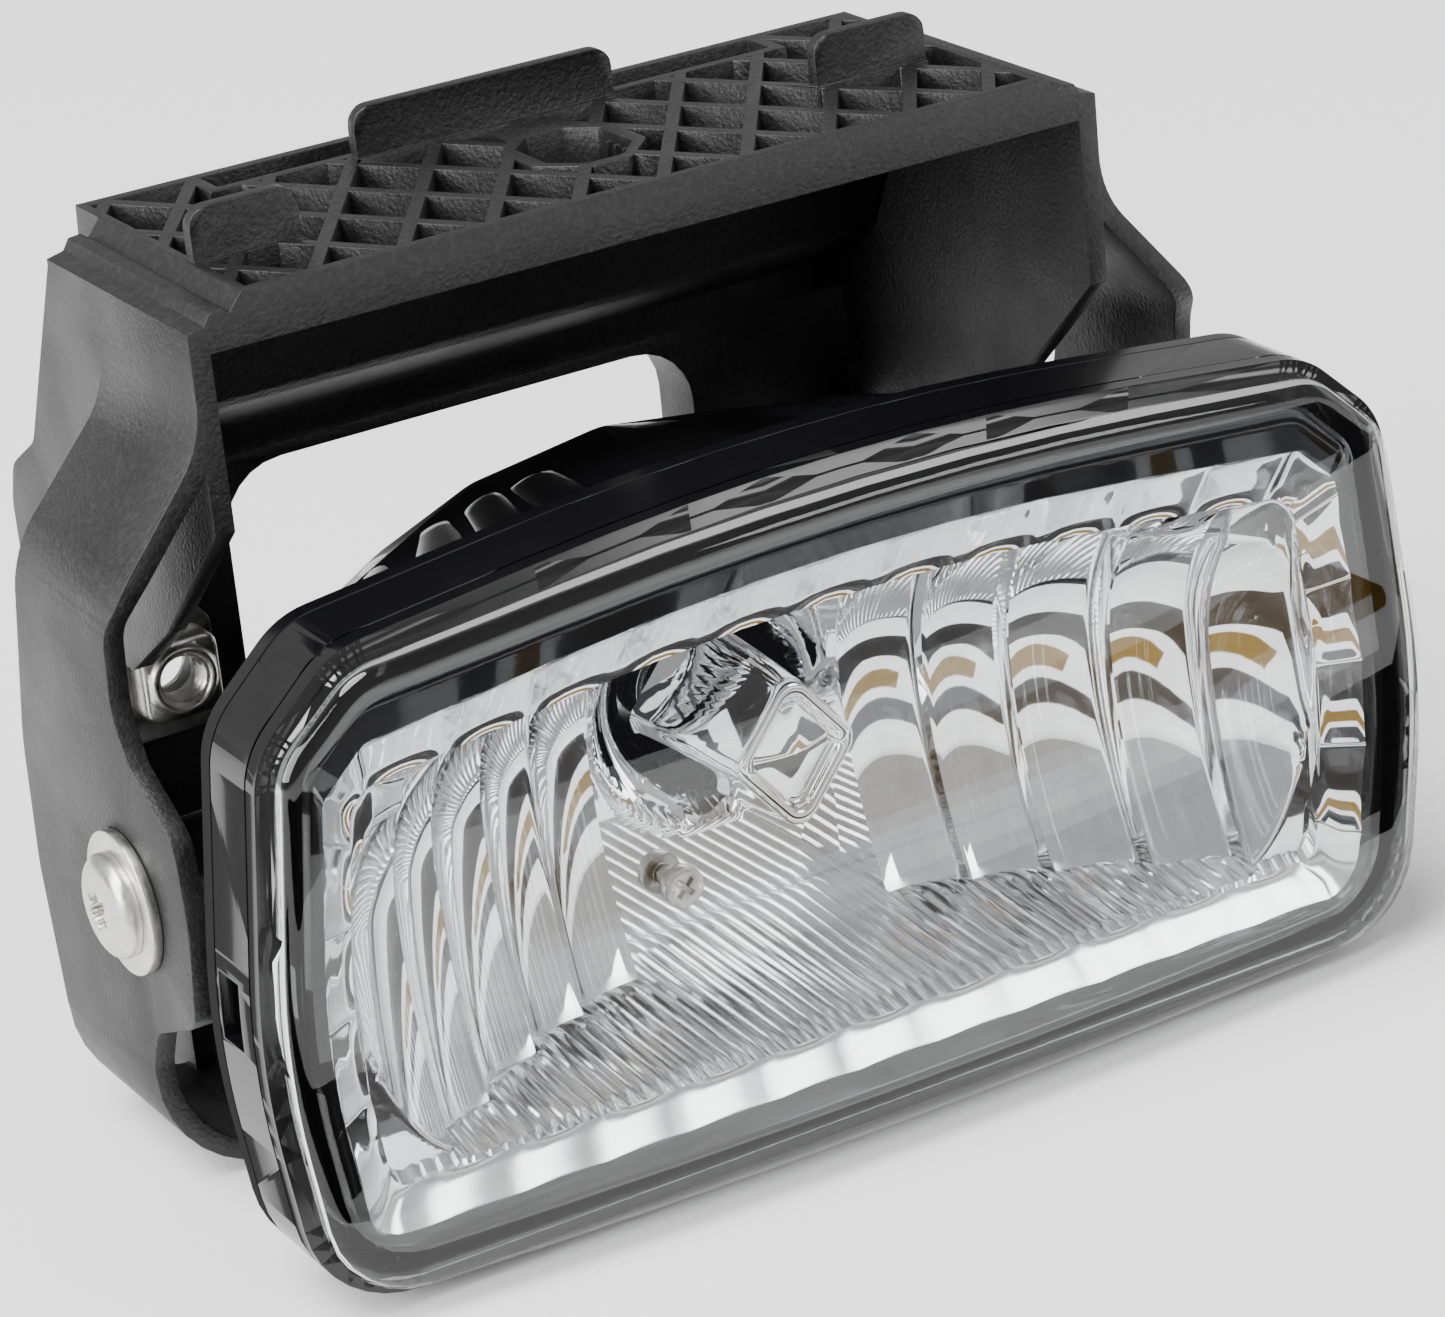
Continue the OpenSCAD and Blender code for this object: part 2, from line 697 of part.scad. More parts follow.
socket_half = 11;
socket_front = 28.2;
socket_back = 43;
socket_foot = -21;
module bulb_base() {
    color([0.09, 0.09, 0.09]) in_place() difference() {
        union() {
            on_bulb_axis(barrel_r, barrel_front, collar_back + 1);
            lugs(lug_r, lug_front, lug_back, 90, 14);
            on_bulb_axis(15.5, collar_back + 0.3, socket_front + 0.5);
            between(socket_front, socket_back)
                rounded_box(-socket_half, socket_half, socket_foot, bulb_z + 10, 3);
            // Ramp that the plug's latch hooks over
            translate([-3, socket_back, socket_foot + 6]) cube([6, 1.8, 4]);
        }
        difference() {
            on_bulb_axis(barrel_r + 1, 21, 24);
            on_bulb_axis(9.3, 20.9, 24.1);
        }
        translate([-socket_half + 1.8, socket_front + 2, socket_foot - 1])
            cube([2 * socket_half - 3.6, socket_back - socket_front - 3.8, 15]);
        for (s = [LEFT, RIGHT])
            translate([s * 4.6 - 1.4, 34, socket_foot + 13]) cube([2.8, 0.8, 9]);
    }
}

module bulb_seal() {
    color([0.55, 0.2, 0.12]) in_place() translate([0, 22.5, bulb_z]) rotate([-90, 0, 0])
        rotate_extrude() translate([10.12, 0]) circle(r = 0.82, $fn = 24);
}

module terminal(s) {
    color([0.8, 0.78, 0.72]) in_place()
        translate([s * 4.6 - 1.4, 34, socket_foot + 3]) cube([2.8, 0.8, 19]);
}
module terminal_left() { terminal(LEFT); }
module terminal_right() { terminal(RIGHT); }

mounting_bracket();
clip_left();
clip_right();
clip_nut_left();
clip_nut_right();
housing();
lens();
lens_seal();
bezel();
reflector();
bulb_shield();
shield_screw();
reflector_screws();
vent_cap();
pivot_screw_left();
pivot_screw_right();
pivot_washer_left();
pivot_washer_right();
pivot_insert_left();
pivot_insert_right();
bulb_glass();
bulb_filament();
bulb_leads();
bulb_holder();
bulb_base();
bulb_seal();
terminal_left();
terminal_right();
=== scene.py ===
"""A fog light on its moulded bracket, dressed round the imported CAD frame.

Shapes are worked out in millimetres about the lamp's tilt axis (x across, -y forward, z up)
and placed with place(), which knows where that axis lies in the frame.
"""

import json
import math

import bmesh
import bpy
from mathutils import Matrix, Vector


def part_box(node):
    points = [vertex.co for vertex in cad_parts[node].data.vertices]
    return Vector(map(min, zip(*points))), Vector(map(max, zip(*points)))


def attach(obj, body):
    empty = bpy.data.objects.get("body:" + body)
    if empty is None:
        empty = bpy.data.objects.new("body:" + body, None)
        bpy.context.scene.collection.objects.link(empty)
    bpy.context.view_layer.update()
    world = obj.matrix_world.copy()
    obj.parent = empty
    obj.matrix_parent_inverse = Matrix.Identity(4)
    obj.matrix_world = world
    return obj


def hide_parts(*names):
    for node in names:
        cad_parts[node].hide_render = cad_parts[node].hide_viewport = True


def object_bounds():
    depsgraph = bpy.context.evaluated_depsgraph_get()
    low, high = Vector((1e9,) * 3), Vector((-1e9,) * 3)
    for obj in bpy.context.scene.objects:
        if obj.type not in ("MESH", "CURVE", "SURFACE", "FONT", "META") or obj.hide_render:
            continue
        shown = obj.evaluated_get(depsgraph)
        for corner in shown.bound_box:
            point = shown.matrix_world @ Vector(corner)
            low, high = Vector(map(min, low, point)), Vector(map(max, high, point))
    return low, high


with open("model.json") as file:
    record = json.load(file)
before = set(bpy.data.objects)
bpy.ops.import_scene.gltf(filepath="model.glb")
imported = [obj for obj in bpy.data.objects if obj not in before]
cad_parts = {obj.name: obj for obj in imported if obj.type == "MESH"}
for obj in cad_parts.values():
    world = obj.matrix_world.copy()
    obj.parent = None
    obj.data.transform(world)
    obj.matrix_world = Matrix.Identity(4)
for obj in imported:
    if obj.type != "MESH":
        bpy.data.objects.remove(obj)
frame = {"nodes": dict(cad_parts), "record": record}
cad_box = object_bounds()
NODES = frame["nodes"]

MM = 0.001
LEFT, RIGHT = -1, 1

# The tilt axis runs through the middle of both pivot washers
low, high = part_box("pivot_washer_left")
AXIS = Vector((0, (low.y + high.y) / 2, (low.z + high.z) / 2))


def place(p):
    """A point in millimetres about the tilt axis, as a point of the frame in metres."""
    return AXIS + Vector(p) * MM


def lamp_box(node):
    """A CAD node's box in millimetres about the tilt axis."""
    a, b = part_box(node)
    return (a - AXIS) / MM, (b - AXIS) / MM


# ---------- camera ----------
# Fitted to the photo: where the camera stands, in millimetres about the tilt axis, and how it's turned
CAMERA_AT = (-314.5, -587.0, 284.4)
CAMERA_TURN = math.radians(-28.68)
CAMERA_LIFT = math.radians(22.45)
CAMERA_ROLL = math.radians(-5.74)
LENS_MM = 123.34
SENSOR_MM = 36


def make_camera():
    data = bpy.data.cameras.new("camera")
    data.lens = LENS_MM
    data.sensor_width = SENSOR_MM
    data.clip_end = 50
    camera = bpy.data.objects.new("camera", data)
    bpy.context.scene.collection.objects.link(camera)
    a, e, r = CAMERA_TURN, CAMERA_LIFT, CAMERA_ROLL
    back = Vector((math.sin(a) * math.cos(e), -math.cos(a) * math.cos(e), math.sin(e)))
    right = Vector((math.cos(a), math.sin(a), 0))
    up = back.cross(right)
    x = right * math.cos(r) + up * math.sin(r)
    y = up * math.cos(r) - right * math.sin(r)
    turn = Matrix((x, y, back)).transposed().to_4x4()
    camera.matrix_world = Matrix.Translation(place(CAMERA_AT)) @ turn
    bpy.context.scene.camera = camera


# ---------- materials ----------
for imported in list(bpy.data.materials):
    imported.name = "imported_" + imported.name
FINISH = {}


def new_material(name):
    m = bpy.data.materials.new(name)
    FINISH[name] = m
    m.use_nodes = True
    return m, m.node_tree, m.node_tree.nodes["Principled BSDF"]


def noise_node(tree, scale, detail=3.0):
    """Noise over the piece's own coordinates; scale is in features per metre."""
    coords = tree.nodes.new("ShaderNodeTexCoord")
    texture = tree.nodes.new("ShaderNodeTexNoise")
    texture.inputs["Scale"].default_value = scale
    texture.inputs["Detail"].default_value = detail
    tree.links.new(coords.outputs["Object"], texture.inputs["Vector"])
    return texture.outputs["Fac"]


def ramp_node(tree, value, low, high, at=(0.35, 0.65)):
    """The value spread between two colours, or between two numbers as greys."""
    ramp = tree.nodes.new("ShaderNodeValToRGB")
    for stop, colour, where in zip(ramp.color_ramp.elements, (low, high), at):
        grey = colour if isinstance(colour, tuple) else (colour, colour, colour)
        stop.color = (*grey, 1)
        stop.position = where
    tree.links.new(value, ramp.inputs["Fac"])
    return ramp.outputs["Color"]


def bump_node(tree, shader, value, distance):
    bump = tree.nodes.new("ShaderNodeBump")
    bump.inputs["Distance"].default_value = distance
    tree.links.new(value, bump.inputs["Height"])
    tree.links.new(bump.outputs["Normal"], shader.inputs["Normal"])


SPECKLE = 900
PLASTIC_IOR = 1.5


def plastic(name, low, high, rough, grain, grain_depth):
    """Moulded plastic: mottled colour and roughness over a fine grain."""
    m, tree, shader = new_material(name)
    mottle = ramp_node(tree, noise_node(tree, SPECKLE, 4), low, high, (0.45, 0.75))
    tree.links.new(mottle, shader.inputs["Base Color"])
    tree.links.new(ramp_node(tree, noise_node(tree, 60), rough[0], rough[1]), shader.inputs["Roughness"])
    bump_node(tree, shader, noise_node(tree, grain, 4), grain_depth)
    shader.inputs["IOR"].default_value = PLASTIC_IOR


def metal(name, low, high, rough, grain, grain_depth):
    """Plated metal: patches of colour and roughness over a fine grain."""
    m, tree, shader = new_material(name)
    shader.inputs["Metallic"].default_value = 1
    tree.links.new(ramp_node(tree, noise_node(tree, 240, 4), low, high), shader.inputs["Base Color"])
    tree.links.new(ramp_node(tree, noise_node(tree, 400, 4), rough[0], rough[1]), shader.inputs["Roughness"])
    bump_node(tree, shader, noise_node(tree, grain, 3), grain_depth)


def clear(name, tint, rough, haze, bright_edges=False):
    """Clear polycarbonate or glass: light passes straight through, and the surface shines by Fresnel.
    With bright edges, light is trapped behind its far side at a slant, as in a thick rim."""
    m, tree, shader = new_material(name)
    out = tree.nodes["Material Output"]
    tree.nodes.remove(shader)
    through = tree.nodes.new("ShaderNodeBsdfTransparent")
    through.inputs["Color"].default_value = (*tint, 1)
    gloss = tree.nodes.new("ShaderNodeBsdfGlossy")
    gloss.inputs["Roughness"].default_value = rough
    gloss.inputs["Color"].default_value = (1, 1, 1, 1)
    fresnel = tree.nodes.new("ShaderNodeFresnel")
    fresnel.inputs["IOR"].default_value = PLASTIC_IOR
    # The rays aren't bent, so a wall's far side must shine like its near side and never reflect totally
    side = tree.nodes.new("ShaderNodeNewGeometry")
    index = tree.nodes.new("ShaderNodeMath")
    index.operation = "MULTIPLY_ADD"
    index.inputs[1].default_value = 1 / PLASTIC_IOR - PLASTIC_IOR
    index.inputs[2].default_value = PLASTIC_IOR
    tree.links.new(side.outputs["Backfacing"], index.inputs[0])
    if not bright_edges:
        tree.links.new(index.outputs["Value"], fresnel.inputs["IOR"])
    mix = tree.nodes.new("ShaderNodeMixShader")
    bump = tree.nodes.new("ShaderNodeBump")
    bump.inputs["Distance"].default_value = haze
    tree.links.new(noise_node(tree, 25, 2), bump.inputs["Height"])
    tree.links.new(bump.outputs["Normal"], gloss.inputs["Normal"])
    tree.links.new(fresnel.outputs["Fac"], mix.inputs["Fac"])
    tree.links.new(through.outputs["BSDF"], mix.inputs[1])
    tree.links.new(gloss.outputs["BSDF"], mix.inputs[2])
    tree.links.new(mix.outputs["Shader"], out.inputs["Surface"])


plastic("bracket_plastic", (0.0042, 0.0042, 0.0046), (0.0145, 0.0145, 0.0155), (0.42, 0.54), 1500, 0.00016)
plastic("housing_plastic", (0.003, 0.003, 0.0035), (0.005, 0.005, 0.0055), (0.14, 0.20), 500, 0.000004)
plastic("bezel_plastic", (0.002, 0.002, 0.002), (0.004, 0.004, 0.004), (0.06, 0.10), 400, 0.0000006)
plastic("seal_rubber", (0.012, 0.012, 0.012), (0.02, 0.02, 0.02), (0.6, 0.75), 900, 0.00004)
plastic("bulb_plastic", (0.012, 0.012, 0.013), (0.02, 0.02, 0.021), (0.35, 0.45), 1200, 0.00003)
plastic("oring_silicone", (0.30, 0.06, 0.03), (0.36, 0.08, 0.04), (0.4, 0.5), 800, 0.00003)
metal("reflector_chrome", (0.84, 0.84, 0.85), (0.90, 0.90, 0.90), (0.02, 0.05), 120, 0.00001)
metal("zinc_steel", (0.55, 0.55, 0.53), (0.70, 0.69, 0.66), (0.26, 0.42), 900, 0.00003)
metal("spring_steel", (0.28, 0.28, 0.28), (0.42, 0.41, 0.40), (0.28, 0.42), 900, 0.00004)
metal("insert_brass", (0.72, 0.52, 0.22), (0.80, 0.60, 0.28), (0.22, 0.34), 700, 0.00002)
metal("bulb_metal", (0.60, 0.60, 0.60), (0.72, 0.72, 0.72), (0.2, 0.35), 600, 0.00002)
metal("terminal_metal", (0.66, 0.65, 0.62), (0.78, 0.77, 0.74), (0.2, 0.3), 700, 0.00002)
metal("tungsten", (0.25, 0.25, 0.26), (0.35, 0.35, 0.36), (0.3, 0.4), 900, 0.00002)
clear("clear_lens", (0.97, 0.975, 0.98), 0.01, 0.000001)
clear("clear_lens_rim", (0.97, 0.975, 0.98), 0.02, 0.000001, bright_edges=True)
clear("bulb_glass", (0.96, 0.97, 0.98), 0.01, 0.00001)


def satin_floor(m, top, fade, rough):
    """Roughens a metal below a height, as the ribbed floor of the reflector is."""
    tree = m.node_tree
    shader = tree.nodes["Principled BSDF"]
    coords = tree.nodes.new("ShaderNodeTexCoord")
    split = tree.nodes.new("ShaderNodeSeparateXYZ")
    tree.links.new(coords.outputs["Object"], split.inputs["Vector"])
    span = tree.nodes.new("ShaderNodeMapRange")
    span.inputs["From Min"].default_value = place((0, 0, top - fade)).z
    span.inputs["From Max"].default_value = place((0, 0, top)).z
    span.inputs["To Min"].default_value = rough
    span.inputs["To Max"].default_value = 0.03
    tree.links.new(split.outputs["Z"], span.inputs["Value"])
    tree.links.new(span.outputs["Result"], shader.inputs["Roughness"])


satin_floor(FINISH["reflector_chrome"], -27.2, 1.2, 0.2)


CAD_EDGE_MM = 0.15
SHELL_EDGE_MM = 0.12


def finish_cad_nodes():
    """Gives each CAD node the material of its record's slot, and rounds its edges a little."""
    for part in frame["record"]["subparts"]:
        o = NODES[part["node"]]
        o.data.materials.clear()
        o.data.materials.append(FINISH[part["material_slot"]])
        weld = o.modifiers.new("weld", "WELD")
        weld.merge_threshold = 0.000002
        bevel = o.modifiers.new("edges", "BEVEL")
        bevel.width = CAD_EDGE_MM * MM
        bevel.segments = 2
        bevel.limit_method = "ANGLE"
        bevel.angle_limit = math.radians(32)
        bevel.harden_normals = True
        bevel.use_clamp_overlap = False
        for face in o.data.polygons:
            face.use_smooth = True


# ---------- shapes ----------
def new_piece(name, verts, faces, finish, body, replaced=(), sharp=35):
    """A mesh in millimetres about the tilt axis, as a finished piece that rides on a body."""
    data = bpy.data.meshes.new(name)
    data.from_pydata([place(v) for v in verts], [], faces)
    data.update()
    weld = bmesh.new()
    weld.from_mesh(data)
    bmesh.ops.remove_doubles(weld, verts=weld.verts, dist=0.001 * MM)
    bmesh.ops.recalc_face_normals(weld, faces=weld.faces)
    weld.to_mesh(data)
    weld.free()
    data.polygons.foreach_set("use_smooth", [True] * len(data.polygons))
    data.set_sharp_from_angle(angle=math.radians(sharp))
    data.materials.append(FINISH[finish])
    o = bpy.data.objects.new(name, data)
    bpy.context.scene.collection.objects.link(o)
    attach(o, body)
    if replaced:
        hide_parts(*replaced)
    return o


def smooth(a, b, x):
    """Rises smoothly from 0 at a to 1 at b."""
    t = min(1, max(0, (x - a) / (b - a)))
    return t * t * (3 - 2 * t)


def mix(a, b, t):
    return a + (b - a) * t


def rounded(corners, radii, steps, edge_steps):
    """A closed outline with its corners rounded and its straight stretches divided."""
    arcs = []
    n = len(corners)
    for i, corner in enumerate(corners):
        a, b, c = (Vector(corners[(i + k) % n]) for k in (-1, 0, 1))
        u, v = (a - b).normalized(), (c - b).normalized()
        half = u.angle(v) / 2
        centre = b + (u + v).normalized() * (radii[i] / math.sin(half))
        start = b + u * (radii[i] / math.tan(half)) - centre
        end = b + v * (radii[i] / math.tan(half)) - centre
        sweep = start.angle_signed(end)
        arcs.append([centre + Matrix.Rotation(-sweep * k / steps, 2) @ start for k in range(steps + 1)])
    outline = []
    for i, arc in enumerate(arcs):
        outline += arc
        here, there = arc[-1], arcs[(i + 1) % n][0]
        outline += [here.lerp(there, k / edge_steps) for k in range(1, edge_steps)]
    return outline


# The lens's outline, anticlockwise from its lower right corner, with each corner's radius
LENS_HALF, LENS_TOP, LENS_DROP, LENS_FRONT, CROWN = 93, 55.8, 42.2, 58.2, 1000
LENS_CORNERS = [(88.5, -LENS_DROP), (LENS_HALF, -6), (88, 36.4), (76.4, 47.2), (0, LENS_TOP),
                (-76.4, 47.2), (-88, 36.4), (-LENS_HALF, -6), (-88.5, -LENS_DROP)]
LENS_RADII = [14, 110, 11, 11, 420, 11, 11, 110, 14]


def lens_outline(side, top, bottom, steps=6, edge_steps=8):
    """The lens's outline moved inward by its own distance at the sides, the top and the bottom."""
    corner = (side + top) / 2
    inward = [side, side, corner, top, top, corner, side, side, bottom]
    n = len(LENS_CORNERS)
    lines = []
    for i in range(n):
        a, b = Vector(LENS_CORNERS[i]), Vector(LENS_CORNERS[(i + 1) % n])
        along = (b - a).normalized()
        lines.append((a + Vector((-along.y, along.x)) * inward[i], along))
    corners = []
    for i in range(n):
        (p, d), (q, e) = lines[i - 1], lines[i]
        t = (q - p).cross(e) / d.cross(e)
        corners.append(p + d * t)
    deepest = max(side, top, bottom)
    radii = [max(3, r - deepest * 0.7) for r in LENS_RADII]
    return rounded(corners, radii, steps, edge_steps)


def crown(x):
    """How far the front's crown falls back at x."""
    return CROWN - math.sqrt(CROWN * CROWN - x * x)


def ring(offsets, y, crowned=False, **steps):
    """The lens's outline moved inward, at one depth or following the front's crown."""
    side, top, bottom = offsets if isinstance(offsets, tuple) else (offsets,) * 3
    return [(p.x, y + (crown(p.x) if crowned else 0), p.y) for p in lens_outline(side, top, bottom, **steps)]


def loft(rings, closed=False, caps=(False, False)):
    """Faces between rings of the same number of points."""
    n = len(rings[0])
    verts = [p for r in rings for p in r]
    faces = []
    last = len(rings) if closed else len(rings) - 1
    for i in range(last):
        j = (i + 1) % len(rings)
        faces += [(i * n + k, i * n + (k + 1) % n, j * n + (k + 1) % n, j * n + k) for k in range(n)]
    if caps[0]:
        faces.append(list(range(n)))
    if caps[1]:
        faces.append([(len(rings) - 1) * n + k for k in range(n)])
    return verts, faces


# ---------- lens ----------
LENS_T = 3
SEAL_FRONT = -42
SKIRT_FRONT = -50


LATCH_X, LATCH_LOW, LATCH_HIGH, LATCH_OUT = 84, -3.6, 12, 0.9


def latch_pad(r):
    """Moves a ring's points out where the side latches thicken the wall."""
    padded = []
    for x, y, z in r:
        if abs(x) > LATCH_X and LATCH_LOW < z < LATCH_HIGH:
            x += math.copysign(LATCH_OUT, x)
        padded.append((x, y, z))
    return padded


def face_ring(t, front):
    """A ring of the lens's face, from its edge at 0 to its centre line at 1."""
    middle_half, middle_z = 50, 5
    points = []
    for x, _, z in ring(5, 0):
        near = max(-middle_half, min(middle_half, x))
        x, z = mix(x, near, t), mix(z, middle_z, t)
        points.append((x, front + crown(x), z))
    return points


def make_lens():
    """The clear lens: a flange inside the housing's skirt, a rounded front edge and a crowned face."""
    edge_r = 2.6
    rings = [ring(1, SEAL_FRONT), ring(1, SKIRT_FRONT + 0.5)]
    rings += [ring(0.8, SKIRT_FRONT + 0.1), ring(0, SKIRT_FRONT - 0.4)]
    rings += [latch_pad(ring(0, y)) for y in (SKIRT_FRONT - 0.9, SKIRT_FRONT - 3.2)]
    rings += [ring(0, SKIRT_FRONT - 3.4)]
    for k in range(6):
        a = math.radians(90 * k / 5)
        front = -LENS_FRONT + edge_r * (1 - math.sin(a))
        rings.append(ring(edge_r * (1 - math.cos(a)), front, True))
    stations = (0, 0.12, 0.3, 0.5, 0.7, 0.88)
    rings += [face_ring(t, -LENS_FRONT) for t in stations]
    inner = [len(rings) - 1, len(rings)]
    inside = -LENS_FRONT + LENS_T
    rings += [face_ring(t, inside) for t in reversed(stations)]
    rings += [ring(4.2, inside + 0.6, True), ring(4, inside + 1.6, True), ring(4, SEAL_FRONT)]
    verts, faces = loft(rings, closed=True)
    n = len(rings[0])
    # The middle of the face is closed across, front and back
    faces = [f for f in faces if f[0] // n != inner[0]]
    faces += [[i * n + k for k in range(n)] for i in inner]
    cover = new_piece("lens_cover", verts, faces, "clear_lens", "lamp", ["lens"])
    cover.data.materials.append(FINISH["clear_lens_rim"])
    for face in cover.data.polygons:
        depth = (face.center.y - AXIS.y) / MM
        if abs(face.normal.y) < 0.5 and depth < SKIRT_FRONT + 1:
            face.material_index = 1


# ---------- bezel ----------
BEZEL_INNER = (7.2, 11.7, 6.4)
BEZEL_REAR = -48.8


def make_bezel():
    """The black band between the lens's rim and the reflector, with a ridge round its middle."""
    front = -LENS_FRONT
    rings = [ring(4.6, BEZEL_REAR), ring(4.6, front + 5.2, True), ring((4.8, 4.9, 4.7), front + 4.6, True),
             ring((5.2, 6.6, 5.0), front + 4.3, True), ring((5.6, 7.4, 5.2), front + 4.4, True),
             ring((5.9, 7.8, 5.4), front + 4.9, True),
             ring((6.8, 11.2, 6.0), -51.6), ring((7.0, 11.5, 6.2), -51.2), ring(BEZEL_INNER, -50.0),
             ring(BEZEL_INNER, BEZEL_REAR)]
    verts, faces = loft(rings, closed=True)
    new_piece("bezel_frame", verts, faces, "bezel_plastic", "lamp", ["bezel"], sharp=28)


# ---------- reflector ----------
RIDGE = (13, 19.6, 11.7)
RIDGE_Y = -46.8
BULB_Z = 5
BAND_EDGES = [21, 33, 44, 56, 67, 79.2]
HOLE_R = 10.6
BOWL_R = 19.5
FLAT_Y = -4.2
BAND_SAG = 1
STEP_FROM = 0.93
BOWL_CENTRE = -5
BOWL_CURVE = 0.00716
CURVE_BELOW, CURVE_ABOVE = 0.0072, 0.021


def along(x):
    """Depth of the bands' parabola at x, on the bulb's height."""
    return BOWL_CENTRE - BOWL_CURVE * x * x


def band(x):
    """Depth of the stepped bands: each is a hollow strip that falls short, then steps up to the parabola."""
    a = max((e for e in BAND_EDGES if e <= x), default=BAND_EDGES[0])
    b = min((e for e in BAND_EDGES if e > x), default=BAND_EDGES[-1])
    if b == a:
        return along(a)
    t = (x - a) / (b - a)
    strip = min(1, t / STEP_FROM)
    step = max(0, (t - STEP_FROM) / (1 - STEP_FROM))
    shallow = mix(along(a), along(b), 0.55 * strip) + BAND_SAG * 4 * strip * (1 - strip)
    return mix(shallow, along(b), step)


def back(x, z):
    """Depth of the reflector's back at a point."""
    h = z - BULB_Z
    x = abs(x)
    curve = (CURVE_BELOW if h < 0 else CURVE_ABOVE) * h * h
    if x >= BAND_EDGES[0]:
        return max(band(x) - curve, RIDGE_Y + 1.6)
    r = math.hypot(x, h)
    bowl = 2 - 0.1 * max(0, r - HOLE_R) ** 2
    upper = along(x) - curve
    outside = mix(FLAT_Y, upper, smooth(-6, 2, h))
    return mix(bowl, outside, smooth(BOWL_R - 1.2, BOWL_R + 0.4, r))


def crossings(outline, x):
    """The lowest and highest z of an outline at x."""
    found = []
    for p, q in zip(outline, outline[1:] + outline[:1]):
        if (p.x - x) * (q.x - x) <= 0 and abs(p.x - q.x) > 1e-9:
            found.append(p.y + (q.y - p.y) * (x - p.x) / (q.x - p.x))
    return min(found), max(found)


RIB_PITCH = 2.5
RIB_HEIGHT = 0.62


def rib(x):
    """Height of the floor's half-round ribs at x."""
    f = (x / RIB_PITCH) % 1
    return RIB_HEIGHT * math.sqrt(max(0, 1 - (2 * f - 1) ** 2))


def make_reflector():
    """The reflector in columns, each from the ribbed floor up the stepped back and out along the ceiling."""
    outline = lens_outline(*RIDGE, steps=16)
    widest = max(p.x for p in outline)
    ribbed = 75
    columns = [k * RIB_PITCH / 6 for k in range(int(6 * ribbed / RIB_PITCH) + 1)]
    columns += [75.6, 76.4, 77.2, 78, 78.6, 79.1]
    columns += [widest - d for d in (0.4, 0.15, 0.02)]
    columns += [e - d for e in BAND_EDGES for d in (0.05, 0.8)]
    columns = sorted(set(round(c, 3) for c in columns if c < widest))
    columns = [-c for c in reversed(columns) if c > 0] + columns
    floor_steps, back_steps, top_steps = 14, 56, 8
    verts = []
    for x in columns:
        low, high = crossings(outline, x)
        depth = smooth(widest, widest - 1.3, abs(x))
        rise = min(1.6, 0.1 * (high - low))
        drop = min(6.5, 0.2 * (high - low))
        lower, upper = low + rise, high - drop
        y_low = mix(RIDGE_Y, back(x, lower), depth)
        y_high = mix(RIDGE_Y, back(x, upper), depth)
        column = []
        for k in range(floor_steps):
            t = k / floor_steps
            grown = rib(x) * smooth(0, 0.05, t) * depth * smooth(ribbed, ribbed - 2, abs(x))
            column.append((x, mix(RIDGE_Y, y_low, t), mix(low, lower, t) + grown))
        for k in range(back_steps):
            z = mix(lower, upper, k / back_steps)
            column.append((x, mix(RIDGE_Y, back(x, z), depth), z))
        for k in range(top_steps + 1):
            t = k / top_steps
            column.append((x, mix(y_high, RIDGE_Y, t), mix(upper, high, math.sin(t * math.pi / 2))))
        verts += column
    n = floor_steps + back_steps + top_steps + 1
    faces = []
    for i in range(len(columns) - 1):
        for k in range(n - 1):
            quad = (i * n + k, (i + 1) * n + k, (i + 1) * n + k + 1, i * n + k + 1)
            middle = [sum(verts[v][a] for v in quad) / 4 for a in range(3)]
            if math.hypot(middle[0], middle[2] - BULB_Z) > HOLE_R or middle[1] < -4:
                faces.append(quad)
    new_piece("reflector_bowl", verts, faces, "reflector_chrome", "lamp", ["reflector"], sharp=30)


FRAME_OUTER = (6.4, 11.0, 5.2)
FRAME_Y = -50.6
BLOCKS = 34
BLOCK_HOLLOW = 0.55


def make_reflector_frame():
    """The sloping frame round the reflector, in wide hollow blocks."""
    steps = {"steps": 40, "edge_steps": 60}
    outer = ring(FRAME_OUTER, FRAME_Y, **steps)
    count = len(outer)
    lengths = [0]
    for i in range(count):
        p, q = outer[i], outer[(i + 1) % count]
        lengths.append(lengths[-1] + math.dist(p, q))
    total = lengths[-1]
    rings = []
    for k in range(9):
        t = k / 8
        offsets = tuple(mix(a, b, t) for a, b in zip(FRAME_OUTER, RIDGE))
        y = mix(FRAME_Y, RIDGE_Y, t)
        r = []
        for i, (x, _, z) in enumerate(ring(offsets, y, **steps)):
            f = (lengths[i] / total * BLOCKS) % 1
            hollow = BLOCK_HOLLOW * (4 * f * (1 - f)) * smooth(0, 0.15, t) * smooth(1, 0.85, t)
            r.append((x, y + hollow, z))
        rings.append(r)
    rings.append(ring(RIDGE, RIDGE_Y + 1.2, **steps))
    rings.append(ring(FRAME_OUTER, FRAME_Y + 1.4, **steps))
    verts, faces = loft(rings, closed=True)
    new_piece("reflector_frame", verts, faces, "reflector_chrome", "lamp", sharp=30)


# ---------- bulb shield ----------
SHIELD_W, SHIELD_H = 10.6, 13


def rhombus_ring(w, h, r, y):
    return [(p.x, y, BULB_Z + p.y) for p in rounded([(w, 0), (0, h), (-w, 0), (0, -h)], [r] * 4, 8, 8)]


